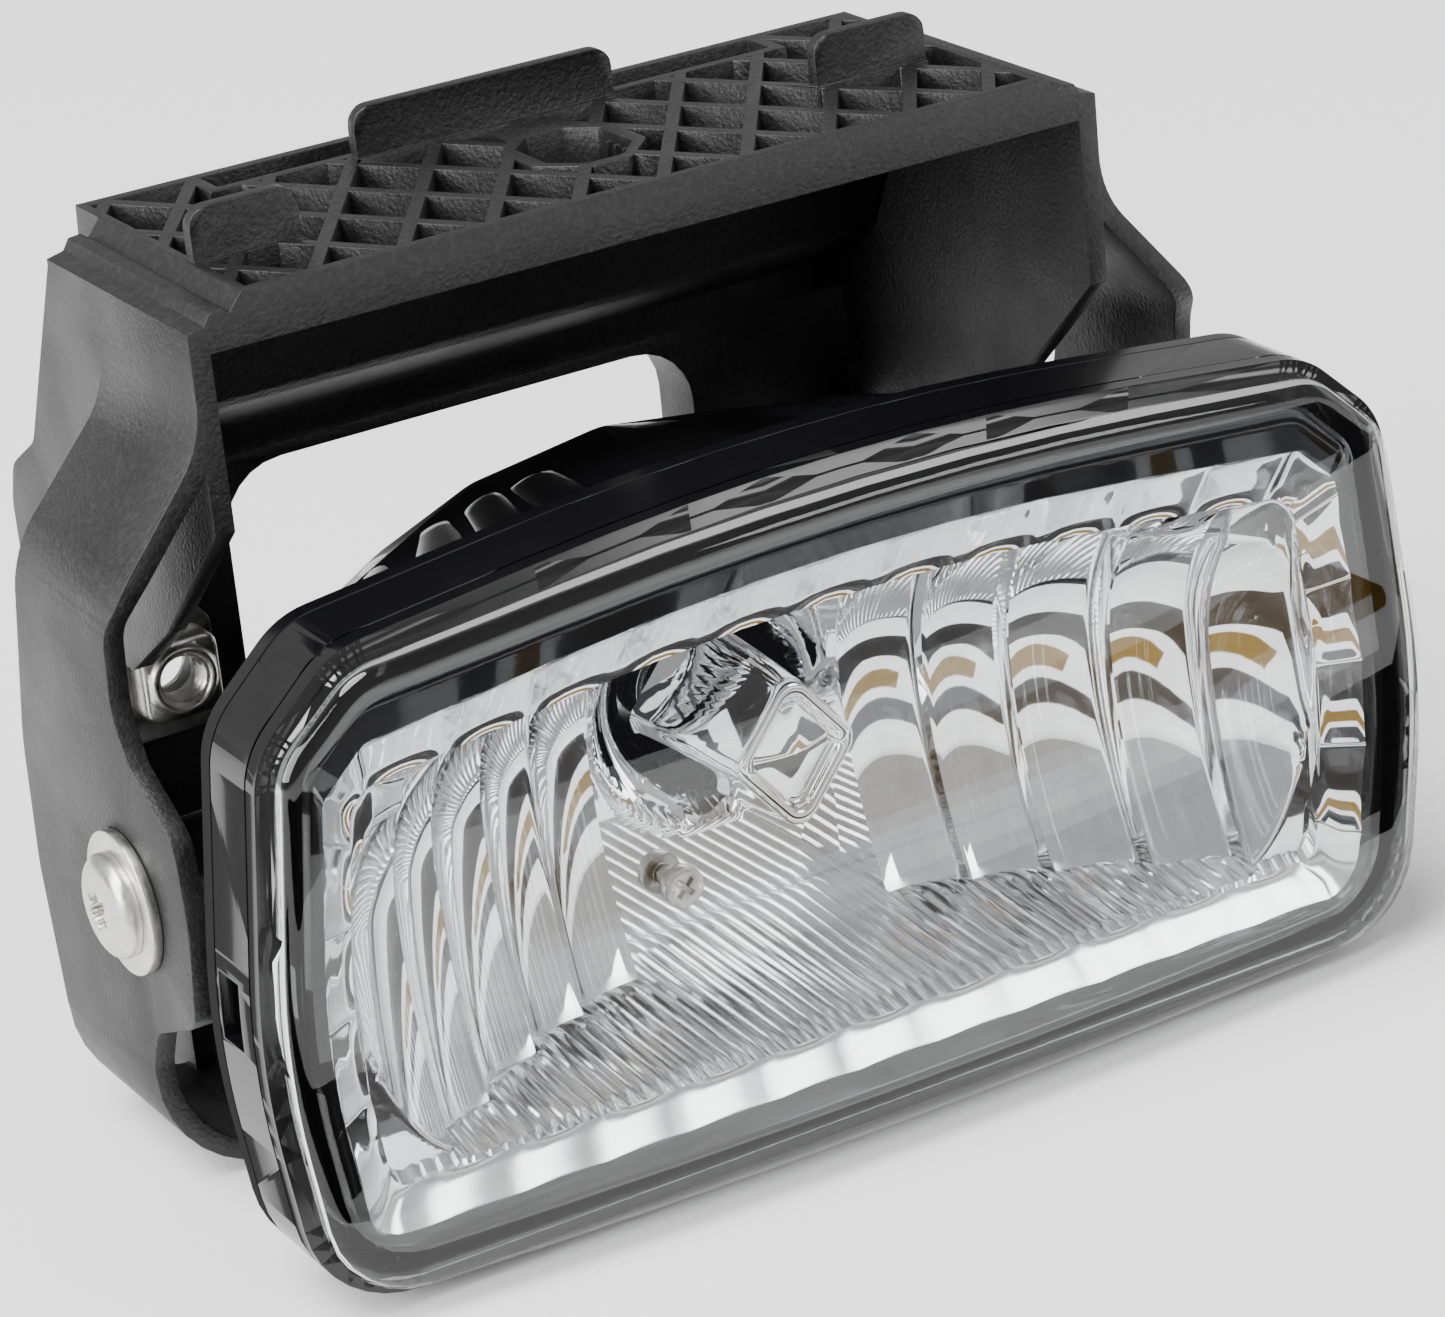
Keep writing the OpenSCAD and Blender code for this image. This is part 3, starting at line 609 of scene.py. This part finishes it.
def make_shield():
    """The shield's cap, with a raised rim round a pillowed face, on its four-sided stem."""
    w, h = SHIELD_W, SHIELD_H
    rings = [rhombus_ring(w + 2.7, h + 2.7, 3.4, -5.0), rhombus_ring(w + 2.4, h + 2.4, 3.4, -6.2),
             rhombus_ring(w + 1.0, h + 1.0, 3.2, -20), rhombus_ring(w + 0.3, h + 0.3, 3.0, -27.0),
             rhombus_ring(w, h, 3.0, -29.4)]
    for k in range(1, 6):
        a = math.radians(18 * k)
        shrink = 1 - math.cos(a)
        rings.append(rhombus_ring(w - shrink, h - 1.2 * shrink, 2.9, -29.7 - 1.6 * math.sin(a)))
    groove = -29.8
    for shrink, y in ((1.9, -31.35), (2.4, -31.1), (2.8, -30.5), (3.1, -30.0), (3.5, groove)):
        rings.append(rhombus_ring(w - shrink, h - 1.2 * shrink, 2.3, y))
    for k in range(1, 11):
        t = k / 10
        y = groove - 1.1 * math.sin(t * math.pi / 2)
        rings.append(rhombus_ring(mix(7.1, 0.25, t), mix(8.8, 0.3, t), mix(2.2, 0.1, t), y))
    verts, faces = loft(rings, caps=(False, True))
    new_piece("bulb_shield_cap", verts, faces, "reflector_chrome", "lamp", ["bulb_shield"], sharp=40)


# ---------- clip nuts ----------
ROUND_STEPS = 48
NUT_CORNER = 2.4
THREAD_PITCH, THREAD_CORE, THREAD_ROOT = 1.25, 3.42, 4.02


def circle_points(at, radius, y):
    angles = [2 * math.pi * k / ROUND_STEPS for k in range(ROUND_STEPS)]
    return [(at[0] + radius * math.cos(a), y, at[1] + radius * math.sin(a)) for a in angles]


def square_points(at, half, corner, y):
    """A rounded square with as many points as circle_points, at the same angles."""
    points = []
    for k in range(ROUND_STEPS):
        a = 2 * math.pi * k / ROUND_STEPS
        c, s = math.cos(a), math.sin(a)
        flat = half / max(abs(c), abs(s))
        core = half - corner
        far = core * (abs(c) + abs(s))
        far += math.sqrt(max(0, far * far - 2 * core * core + corner * corner))
        r = far if min(abs(c), abs(s)) * flat > core else flat
        points.append((at[0] + r * c, y, at[1] + r * s))
    return points


def make_nut(name, node):
    """A square nut with a raised, rounded mouth and ridges for its thread."""
    low, high = lamp_box(node)
    at = ((low.x + high.x) / 2, (low.z + high.z) / 2)
    half = (high.x - low.x) / 2
    front, rear = low.y, high.y
    rings = [square_points(at, half, NUT_CORNER, rear), square_points(at, half, NUT_CORNER, front + 1.7),
             square_points(at, half - 0.25, NUT_CORNER, front + 1.25),
             square_points(at, half - 0.8, NUT_CORNER + 0.2, front + 1.05)]
    mouth = ((5.9, 0.95), (5.6, 0.8), (5.35, 0.3), (5.1, 0.05),
             (4.8, 0), (4.5, 0.05), (4.2, 0.45), (4.05, 0.8))
    rings += [circle_points(at, radius, front + y) for radius, y in mouth]
    steps = 6 * int((rear - front - 1.6) / THREAD_PITCH)
    for k in range(steps + 1):
        f = (k / 6) % 1
        radius = mix(THREAD_CORE, THREAD_ROOT, abs(2 * f - 1) ** 0.8)
        rings.append(circle_points(at, radius, front + 1.0 + k * THREAD_PITCH / 6))
    rings += [circle_points(at, 3.6, rear - 0.2), circle_points(at, 3.8, rear)]
    verts, faces = loft(rings, closed=True)
    new_piece(name, verts, faces, "zinc_steel", "bracket", [node], sharp=50)


# ---------- housing ----------
def cut_away(target, cutter):
    """Cuts one piece out of another for good, and removes the cutter."""
    knife = target.modifiers.new("cut", "BOOLEAN")
    knife.operation = "DIFFERENCE"
    knife.solver = "EXACT"
    knife.object = cutter
    bpy.context.view_layer.update()
    shape = bpy.data.meshes.new_from_object(target.evaluated_get(bpy.context.evaluated_depsgraph_get()))
    target.modifiers.clear()
    target.data = shape
    bpy.data.objects.remove(cutter)


SKIRT_OUTSIDE = -2


def seam_ring(y, width, depth):
    """A thin hoop round the skirt, to cut a seam line with."""
    inner, outer = SKIRT_OUTSIDE + depth, SKIRT_OUTSIDE - 2
    rings = [ring(inner, y), ring(inner, y + width), ring(outer, y + width), ring(outer, y)]
    verts, faces = loft(rings, closed=True)
    data = bpy.data.meshes.new("seam")
    data.from_pydata([place(v) for v in verts], [], faces)
    data.update()
    weld = bmesh.new()
    weld.from_mesh(data)
    bmesh.ops.recalc_face_normals(weld, faces=weld.faces)
    weld.to_mesh(data)
    weld.free()
    o = bpy.data.objects.new("seam", data)
    bpy.context.scene.collection.objects.link(o)
    return o


def make_housing():
    """The housing with seam lines cut round its skirt."""
    o = bpy.data.objects.new("housing_shell", NODES["housing"].data.copy())
    bpy.context.scene.collection.objects.link(o)
    weld = bmesh.new()
    weld.from_mesh(o.data)
    bmesh.ops.remove_doubles(weld, verts=weld.verts, dist=0.002 * MM)
    weld.to_mesh(o.data)
    weld.free()
    for y, width, depth in ((-47.4, 0.45, 0.4), (-36.9, 0.4, 0.45)):
        cut_away(o, seam_ring(y, width, depth))
    o.data.polygons.foreach_set("use_smooth", [True] * len(o.data.polygons))
    o.data.set_sharp_from_angle(angle=math.radians(32))
    o.data.materials.clear()
    o.data.materials.append(FINISH["housing_plastic"])
    bevel = o.modifiers.new("edges", "BEVEL")
    bevel.width = SHELL_EDGE_MM * MM
    bevel.segments = 2
    bevel.limit_method = "ANGLE"
    bevel.angle_limit = math.radians(32)
    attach(o, "lamp")
    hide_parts("housing")


def dome_top(x, t):
    """A point of the dome's top, from its front edge at 0 to its back at 1, on the line that starts at x."""
    arch = [(0, 41.2), (22, 38.2), (40, 31), (52, 16)]
    far = abs(x) * 0.6
    for (x0, z0), (x1, z1) in zip(arch, arch[1:]):
        if x0 <= far <= x1:
            back_z = mix(z0, z1, (far - x0) / (x1 - x0))
    front_z = crossings(lens_outline(4.5, 4.5, 4.5), x)[1]
    return mix(x, math.copysign(far, x), t), mix(-29, 18, t), mix(front_z, back_z, t)


def make_scallops(name, side):
    """The outer faces of the reflector pockets' ceilings, as a row of rounded ridges on the dome."""
    verts, faces = [], []
    across, lengthwise = 10, 12
    for a, b in zip(BAND_EDGES[:-1], BAND_EDGES[1:]):
        start = len(verts)
        for j in range(lengthwise + 1):
            t = mix(0.06, 0.8, j / lengthwise)
            ends = smooth(0, 0.12, j / lengthwise) * smooth(1, 0.75, j / lengthwise)
            row = []
            for i in range(across + 1):
                u = i / across
                x, y, z = dome_top(side * mix(a + 0.3, b - 0.3, u), t)
                row.append((x, y, z + mix(-0.8, 1.9, (4 * u * (1 - u)) ** 0.45 * ends)))
            ground = (dome_top(side * mix(a + 0.3, b - 0.3, u), t) for u in (1, 0))
            low = [(x, y, z - 2) for x, y, z in ground]
            verts += row + low
        n = across + 3
        for j in range(lengthwise):
            for i in range(n):
                k = (i + 1) % n
                here, there = start + j * n, start + (j + 1) * n
                faces.append((here + i, here + k, there + k, there + i))
        faces.append([start + i for i in range(n)])
        faces.append([start + lengthwise * n + i for i in range(n)])
    new_piece(name, verts, faces, "housing_plastic", "lamp", sharp=40)


# ---------- studio ----------
def card(name, low, high, lift, colour, strength):
    """A flat card lying in front of the lamp between two corners in x and y, seen only in reflections."""
    z = cad_box[0][2] / MM - AXIS.z / MM + lift
    corners = [(low[0], low[1], z), (high[0], low[1], z), (high[0], high[1], z), (low[0], high[1], z)]
    data = bpy.data.meshes.new(name)
    data.from_pydata([place(c) for c in corners], [], [(0, 1, 2, 3)])
    o = bpy.data.objects.new(name, data)
    bpy.context.scene.collection.objects.link(o)
    m = bpy.data.materials.new(name)
    m.use_nodes = True
    tree = m.node_tree
    tree.nodes.remove(tree.nodes["Principled BSDF"])
    glow = tree.nodes.new("ShaderNodeEmission")
    glow.inputs["Color"].default_value = (*colour, 1)
    glow.inputs["Strength"].default_value = strength
    tree.links.new(glow.outputs["Emission"], tree.nodes["Material Output"].inputs["Surface"])
    data.materials.append(m)
    o.visible_camera = False
    o.visible_diffuse = False
    o.visible_shadow = False
    o.visible_transmission = False


def softbox(name, size, at, aim, power):
    """A square-cornered area light, turned to face the point it's aimed at."""
    data = bpy.data.lights.new(name, "AREA")
    data.shape = "RECTANGLE"
    data.size, data.size_y = size
    data.energy = power
    o = bpy.data.objects.new(name, data)
    bpy.context.scene.collection.objects.link(o)
    o.location = at
    o.rotation_euler = (Vector(at) - Vector(aim)).to_track_quat("Z", "Y").to_euler()


def sun(name, towards, strength):
    """A broad, even light from far away, as from a large soft ceiling."""
    data = bpy.data.lights.new(name, "SUN")
    data.energy = strength
    data.angle = math.radians(35)
    o = bpy.data.objects.new(name, data)
    bpy.context.scene.collection.objects.link(o)
    o.rotation_euler = Vector(towards).to_track_quat("Z", "Y").to_euler()


def studio():
    """A pale floor in even light, with cards that give the chrome something dark to reflect."""
    world = bpy.data.worlds.new("world")
    world.use_nodes = True
    world.node_tree.nodes["Background"].inputs["Color"].default_value = (1, 1, 1, 1)
    world.node_tree.nodes["Background"].inputs["Strength"].default_value = 0.6
    bpy.context.scene.world = world
    floor_z = cad_box[0][2] - 0.0005
    bpy.ops.mesh.primitive_plane_add(size=12, location=(0, 0, floor_z))
    floor = bpy.context.object
    floor.name = "floor"
    m, _, shader = new_material("floor")
    shader.inputs["Base Color"].default_value = (0.93, 0.93, 0.93, 1)
    shader.inputs["Roughness"].default_value = 0.7
    floor.data.materials.append(m)
    lamp = place((0, 0, 0))
    softbox("left_softbox", (0.9, 0.9), (-1.3, -0.2, 0.5), lamp, 26)
    softbox("front_softbox", (0.7, 0.5), (0.9, -1.3, 0.6), lamp, 8)
    sun("overhead", (-0.45, -0.15, 1), 4.6)
    card("dark_card", (-300, -128), (420, -84), 1, (0.07, 0.066, 0.062), 1)
    card("amber_card", (-20, -176), (190, -146), 1, (0.50, 0.31, 0.07), 1)
    card("grey_card", (-420, -300), (520, -200), 1, (0.10, 0.10, 0.11), 1)


make_camera()
finish_cad_nodes()
make_lens()
make_bezel()
make_reflector()
make_reflector_frame()
make_shield()
make_nut("threaded_nut_left", "clip_nut_left")
make_nut("threaded_nut_right", "clip_nut_right")
make_housing()
make_scallops("dome_scallops_left", LEFT)
make_scallops("dome_scallops_right", RIGHT)
studio()
